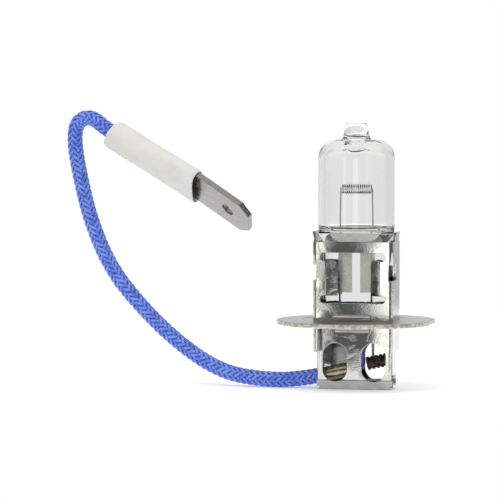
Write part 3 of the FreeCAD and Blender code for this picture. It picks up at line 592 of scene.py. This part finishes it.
def braided_lead(yarn):
    """Sixteen flat yarns, eight each way round, over two and under two."""
    carriers, turn_length, ring_step = 8, 6.8, 0.055
    line = even_line(smooth_line("lead_line", LEAD_ROUTE), ring_step)
    frames = carried_frames(line)
    step = (line[1] - line[0]).length
    yarn_half, yarn_thick, below_surface = 0.28, 0.12, 0.175
    middle_radius = LEAD_RADIUS - below_surface
    wave, steepness, unevenness = 0.07, 1.35, 0.010
    slant = 2 * math.pi * middle_radius / turn_length
    # a yarn's section, as shares of its half width and thickness, and the share of painted
    # highlight at each point: most at the top, none at the edges and underside, where shade is
    # painted
    section = [(-1.0, -0.4), (-0.8, 0.25), (-0.42, 0.8), (0.0, 1.0),
               (0.42, 0.8), (0.8, 0.25), (1.0, -0.4), (0.0, -0.8)]
    crown_painted_highlight = [0.0, 0.35, 0.85, 1.0, 0.85, 0.35, 0.0, 0.0]
    strands = []
    for hand in (1, -1):
        for carrier in range(carriers):
            rings = []
            for number, (here, (along, side, up)) in enumerate(zip(line, frames)):
                travel = number * step
                angle = hand * (2 * math.pi * travel / turn_length)
                angle += 2 * math.pi * carrier / carriers
                # crossings come at an even pitch, and every second pair swaps over and under
                crossing = 2 * carriers * travel / turn_length
                phase = math.pi / 2 * (hand * crossing + 2 * carrier + 0.5)
                lift = clamped(hand * math.sin(phase) * steepness, -1.0) * wave
                radial = side * math.cos(angle) + up * math.sin(angle)
                around = along.cross(radial) * hand
                forward = (along + around * slant).normalized()
                across = forward.cross(radial).normalized()
                place = Vector((travel * 0.9, carrier * 7.3, hand * 3.1))
                jitter = noise.noise(place) * unevenness
                center = here + radial * (middle_radius + lift + jitter)
                rings.append([center + across * (a * yarn_half) + radial * (b * yarn_thick)
                              for a, b in section])
            strands.append(rings_object("yarn", rings))
    braid = join("braided_jacket", strands)
    # per-point share of painted highlight on the strands' tops, painted shade at their edges
    painted_highlight_layer = braid.data.attributes.new("crown_painted_highlight", "FLOAT", "POINT")
    count = len(braid.data.vertices)
    painted_highlight_layer.data.foreach_set("value", [crown_painted_highlight[i % len(section)] for i in range(count)])
    finish_piece(braid, "bulb", yarn, "blue_braid", "lead_braid")
    return braid, line


def lead_core(line, rubber, copper):
    """The insulation under the braid, and the twisted strands of the conductor."""
    core_radius, past_jacket, into_crimp, into_barrel = 0.80, 0.5, 2.1, 4.4
    backward = (line[0] - line[1]).normalized()
    onward = (line[-1] - line[-2]).normalized()
    beyond = line[-1] + onward * past_jacket
    core = tube("lead_core", line[:-1:8] + [line[-1], beyond], core_radius, 20)
    finish_piece(core, "bulb", rubber, "silicone", "lead_insulation")

    # a straight strand in the middle and six twisted round it
    middle_radius, strand_radius, strand_sides = 0.165, 0.16, 7
    step, lay_length, from_middle = 0.4, 9.0, 0.325
    start, end = line[0] + backward * into_crimp, beyond + onward * into_barrel
    whole = even_line([start] + line[::6] + [line[-1], end], step)
    frames = carried_frames(whole)
    strands = [tube("strand", whole, middle_radius, strand_sides)]
    for number in range(6):
        path = []
        for place, (here, (_, side, up)) in enumerate(zip(whole, frames)):
            angle = place * step / lay_length * 2 * math.pi + number * math.pi / 3
            path.append(here + (side * math.cos(angle) + up * math.sin(angle)) * from_middle)
        strands.append(tube("strand", path, strand_radius, strand_sides))
    wires = join("conductor_strands", strands)
    finish_piece(wires, "bulb", copper, "copper", "lead_conductor")


# ---------------------------------------------------------------- terminal

def sleeve_section(x, half_width, half_depth, power):
    """A superellipse across the white sleeve."""
    middle = SLEEVE_OFFSET - SLEEVE_RISE * x / SLEEVE_LENGTH
    ring = []
    for number in range(SLEEVE_SIDES):
        angle = 2 * math.pi * number / SLEEVE_SIDES
        c, s = math.cos(angle), math.sin(angle)
        y = math.copysign(abs(c) ** (2 / power), c) * half_width
        z = math.copysign(abs(s) ** (2 / power), s) * half_depth
        ring.append(terminal_point(x, y, middle + z))
    return ring


def white_sleeve(rubber):
    """A soft tube, round at the lead and pressed flat at the blade, with rounded ends."""
    # place along the blade, half width, half depth, and the superellipse's power
    outside = [(-15.0, 1.72, 1.72, 2.0), (-14.95, 1.90, 1.90, 2.0), (-14.78, 2.02, 2.02, 2.0),
               (-14.4, 2.07, 2.07, 2.0), (-12.0, 2.08, 2.08, 2.0), (-9.5, 2.24, 2.00, 2.0),
               (-7.0, 2.58, 1.88, 2.1), (-4.5, 3.02, 1.68, 2.25), (-2.2, 3.38, 1.44, 2.5),
               (-0.5, 3.53, 1.29, 2.8), (-0.1, 3.53, 1.26, 2.8), (0.0, 3.48, 1.21, 2.8)]
    inside = [(0.0, 3.34, 1.08, 3.2), (-0.3, 3.28, 1.02, 3.2), (-2.6, 3.16, 1.14, 2.8),
              (-5.0, 2.72, 1.36, 2.4), (-9.0, 1.90, 1.60, 2.1), (-12.0, 1.52, 1.52, 2.0),
              (-14.6, 1.50, 1.50, 2.0), (-14.95, 1.58, 1.58, 2.0)]
    rings = [sleeve_section(*station) for station in outside + inside]
    sleeve = rings_object("white_sleeve", rings, loop=True)
    smooth = sleeve.modifiers.new("smooth", "SUBSURF")
    smooth.levels = smooth.render_levels = 1
    finish_piece(sleeve, "sleeving", rubber, "white_sleeving", "terminal_sleeve")


# ---------------------------------------------------------------- capsule

def turned(outline, sides):
    """Rings turned about the bulb's axis from (radius, height) pairs."""
    rings = []
    for radius, height in outline:
        ring = []
        for number in range(sides):
            angle = 2 * math.pi * number / sides
            ring.append((radius * math.cos(angle), radius * math.sin(angle), height))
        rings.append(ring)
    return rings


def arc_points(start, middle, end, count):
    """Points of a quadratic bend from start to end that heads for middle."""
    points = []
    for number in range(count + 1):
        t = number / count
        points.append(tuple((1 - t) ** 2 * a + 2 * t * (1 - t) * b + t * t * c
                            for a, b, c in zip(start, middle, end)))
    return points


def pinch_depth(x, half_width):
    """Half thickness of the pinch at x: a thin web, thicker ribs, round edges."""
    rise = clamped((abs(x) - RIB_START) / RIB_RAMP)
    depth = PINCH_WEB + (PINCH_RIB - PINCH_WEB) * rise * rise * (3 - 2 * rise)
    edge = max(0.0, (abs(x) / half_width - 0.80) / 0.20)
    return depth * math.sqrt(max(1 - edge * edge, 0.0))


def outer_ring(height, count):
    """The capsule's outside at a height: the pinch low down, opening to the round bulb."""
    opening_x = clamped((height - WIDENS_FROM) / WIDENS_OVER)
    opening_y = clamped((height - ROUNDS_FROM) / ROUNDS_OVER)
    half_width = PINCH_HALF_WIDTH + PINCH_WIDENING * (1 - (1 - opening_x) ** 2)
    bulge = math.sqrt(max(1 - (1 - opening_y) ** 2, 0.0))
    ring = []
    for number in range(count):
        angle = 2 * math.pi * number / count
        x = half_width * math.cos(angle)
        round_y = BULB_RADIUS * math.sin(angle)
        at_edge = number % (count // 2) == 0
        flat_y = 0.0 if at_edge else math.copysign(pinch_depth(x, half_width), math.sin(angle))
        ring.append((x, flat_y + (round_y - flat_y) * bulge, height))
    return ring


def capsule_outside(count):
    """Rings of the pinch and the bulb, with a rough lower end, then the dome and the tip."""
    heights = [2.5, 2.62, 2.9] + [3.5 + 0.5 * i for i in range(14)]
    heights += [WIDENS_FROM, 10.6, 10.85, 11.15, 11.5, 11.8, ROUNDS_FROM]
    heights += [ROUNDS_FROM + ROUNDS_OVER * (1 - math.cos(math.radians(9 * i)))
                for i in range(1, 11)]
    heights += [12.53, 12.6, 12.8, 13.4, 14.2, 16.0, 18.0, 20.0, 21.6]
    rings = []
    for height in heights:
        ring = outer_ring(height, count)
        if height < 2.7:
            thinner = 0.90 if height < 2.55 else 0.97
            ring = [(x * 0.985, y * thinner, z + 0.12 * noise.noise(Vector((x * 2.1, y, 3.3))))
                    for x, y, z in ring]
        rings.append(ring)
    dome = arc_points((BULB_RADIUS, 22.2), (BULB_RADIUS, 24.75), (2.35, 24.85), 14)
    root = arc_points((2.35, 24.85), (1.85, 24.9), (1.72, 25.5), 6)
    tip = [(1.64, 26.0), (1.58, 26.45), (1.52, 26.8), (1.42, 27.0), (1.22, 27.08), (0.7, 27.1)]
    for radius, height in dome + root[1:] + tip:
        wobble = 0.0 if height < 25.2 else 0.09
        ring = []
        for number in range(count):
            angle = 2 * math.pi * number / count
            c, s = math.cos(angle), math.sin(angle)
            here = radius * (1 + wobble * noise.noise(Vector((c * 1.3, s * 1.3, height))))
            ring.append((here * c, here * s,
                         height + wobble * 0.9 * noise.noise(Vector((c, s, 9.1)))))
        rings.append(ring)
    return rings


def capsule_cavity(count):
    """Rings of the gas space: a rounded floor, straight sides and a roof that runs into the tip."""
    floor = arc_points((0.25, 12.50), (CAVITY_RADIUS, 12.46), (CAVITY_RADIUS, 13.0), 12)
    sides = [(CAVITY_RADIUS, height) for height in (13.06, 13.2, 13.8, 16.0, 19.0, 21.5)]
    roof = arc_points((CAVITY_RADIUS, 22.0), (CAVITY_RADIUS, 24.05), (1.25, 24.05), 12)
    nub = [(1.12, 24.25), (1.0, 24.5), (0.6, 24.66)]
    rings = turned(floor + sides + roof + nub, count)
    for ring in rings:
        for number, (x, y, z) in enumerate(ring):
            unrest = 0.10 * clamped((z - 22.6) / 1.2)
            ring[number] = (x, y, z + unrest * noise.noise(Vector((x * 0.9, y * 0.9, 4.7))))
    return rings


def quartz_capsule(quartz):
    skin = rings_object("capsule_skin", capsule_outside(CAPSULE_SIDES))
    gas = rings_object("capsule_gas", capsule_cavity(CAPSULE_SIDES))
    gas.data.flip_normals()
    capsule = join("quartz_capsule", [skin, gas])
    finish_piece(capsule, "bulb", quartz, "quartz", "quartz_envelope")


def coil(tungsten):
    """A close helix across the bulb."""
    turns, radius, half_length, wire_radius, steps_per_turn = 13.5, 0.59, 2.05, 0.068, 20
    steps = int(turns * steps_per_turn)
    line = []
    for number in range(steps + 1):
        share = number / steps
        angle = -math.pi / 2 + 2 * math.pi * turns * share
        line.append(Vector((-half_length + 2 * half_length * share,
                            radius * math.cos(angle), COIL_Z + radius * math.sin(angle))))
    piece = tube("coil", line, wire_radius, 8)
    finish_piece(piece, "bulb", tungsten, "tungsten", "filament_coil")


def coil_leg(name, node, side, tungsten):
    """A wire that hooks round the coil's end and spreads slightly on its way to the seal."""
    path = [Vector((side * x, y, z)) for x, y, z in (
        (2.10, -0.12, 18.16), (2.17, -0.10, 18.12), (2.20, 0.0, 17.9), (2.22, 0.0, 17.0),
        (2.28, 0.0, 14.5), (2.30, 0.0, 12.6), (2.25, 0.0, 11.5), (2.25, 0.0, 9.3))]
    finish_piece(tube(name, path, 0.085, 10), "bulb", tungsten, "tungsten", node)


# ---------------------------------------------------------------- sheet metal

def dressed(node, name):
    """The CAD piece's own shape with its sharp edges eased, as the press leaves them."""
    data = NODES[node].data.copy()
    data.name = name
    shape = bmesh.new()
    shape.from_mesh(data)
    bmesh.ops.remove_doubles(shape, verts=shape.verts, dist=0.002 * MM)
    bmesh.ops.dissolve_limit(shape, angle_limit=FLAT_ANGLE, verts=shape.verts, edges=shape.edges)
    shape.to_mesh(data)
    shape.free()
    piece = in_scene(name, data)
    shade(data)
    bevel = piece.modifiers.new("eased_edges", "BEVEL")
    bevel.limit_method = "ANGLE"
    bevel.angle_limit = EDGE_ANGLE
    bevel.width = EDGE_WIDTH * MM
    bevel.segments = EDGE_SEGMENTS
    bevel.use_clamp_overlap = False
    bevel.miter_outer = "MITER_ARC"
    flat = piece.modifiers.new("flat_faces", "WEIGHTED_NORMAL")
    flat.mode, flat.weight = "FACE_AREA", 100
    return piece


# ---------------------------------------------------------------- the whole

stage()
STEEL, FLANGE, TERMINAL = plated_steel(), flange_steel(), terminal_metal()
QUARTZ, YARN, WHITE = clear_quartz(), blue_yarn(), white_rubber()
TUNGSTEN = wire_metal("tungsten", (0.20, 0.20, 0.21), (0.34, 0.34, 0.35), 0.35)
MOLYBDENUM = wire_metal("molybdenum", (0.20, 0.21, 0.19), (0.36, 0.37, 0.34), 0.35)
FOIL = wire_metal("seal_foil", (0.57, 0.58, 0.515), (0.66, 0.67, 0.60), 0.3)
BROWNED = wire_metal("browned_steel", (0.015, 0.010, 0.008), (0.12, 0.09, 0.07), 0.2)
CRIMP = wire_metal("nickel_crimp", (0.36, 0.29, 0.21), (0.60, 0.54, 0.42), 0.20)
COPPER = wire_metal("copper", (0.50, 0.27, 0.16), (0.78, 0.47, 0.30), 0.3)
SILICONE = plain_rubber("silicone", (0.50, 0.50, 0.48), (0.70, 0.70, 0.67))
SLEEVING = plain_rubber("blue_sleeving", (0.03, 0.04, 0.30), (0.16, 0.18, 0.62), 0.4)

braid, lead_line = braided_lead(YARN)
lead_core(lead_line, SILICONE, COPPER)
white_sleeve(WHITE)
quartz_capsule(QUARTZ)
coil(coil_wire())
coil_leg("leg_live", "filament_leg_live", LIVE_SIDE, TUNGSTEN)
coil_leg("leg_ground", "filament_leg_ground", -LIVE_SIDE, TUNGSTEN)

# CAD pieces whose shape is right as it is
for node, material in (
    ("seal_foil_live", FOIL),
    ("seal_foil_ground", FOIL),
    ("lead_wire_live", MOLYBDENUM),
    ("lead_wire_ground", MOLYBDENUM),
    ("ground_strap", BROWNED),
    ("live_lead_insulator", SLEEVING),
):
    NODES[node].data.materials.clear()
    NODES[node].data.materials.append(material)

# CAD pieces that get eased edges
for node, name, material, slot in (
    ("outer_sleeve", "pressed_sleeve", STEEL, "plated_steel"),
    ("inner_holder", "pressed_holder", STEEL, "plated_steel"),
    ("prefocus_flange", "stamped_flange", FLANGE, "brushed_steel"),
    ("ground_ferrule", "ribbed_ferrule", BROWNED, "browned_steel"),
    ("live_crimp", "crimped_ferrule", CRIMP, "nickel_crimp"),
    ("blade_terminal", "blade_and_barrel", TERMINAL, "terminal_plate"),
):
    finish_piece(dressed(node, name), "bulb", material, slot, node)
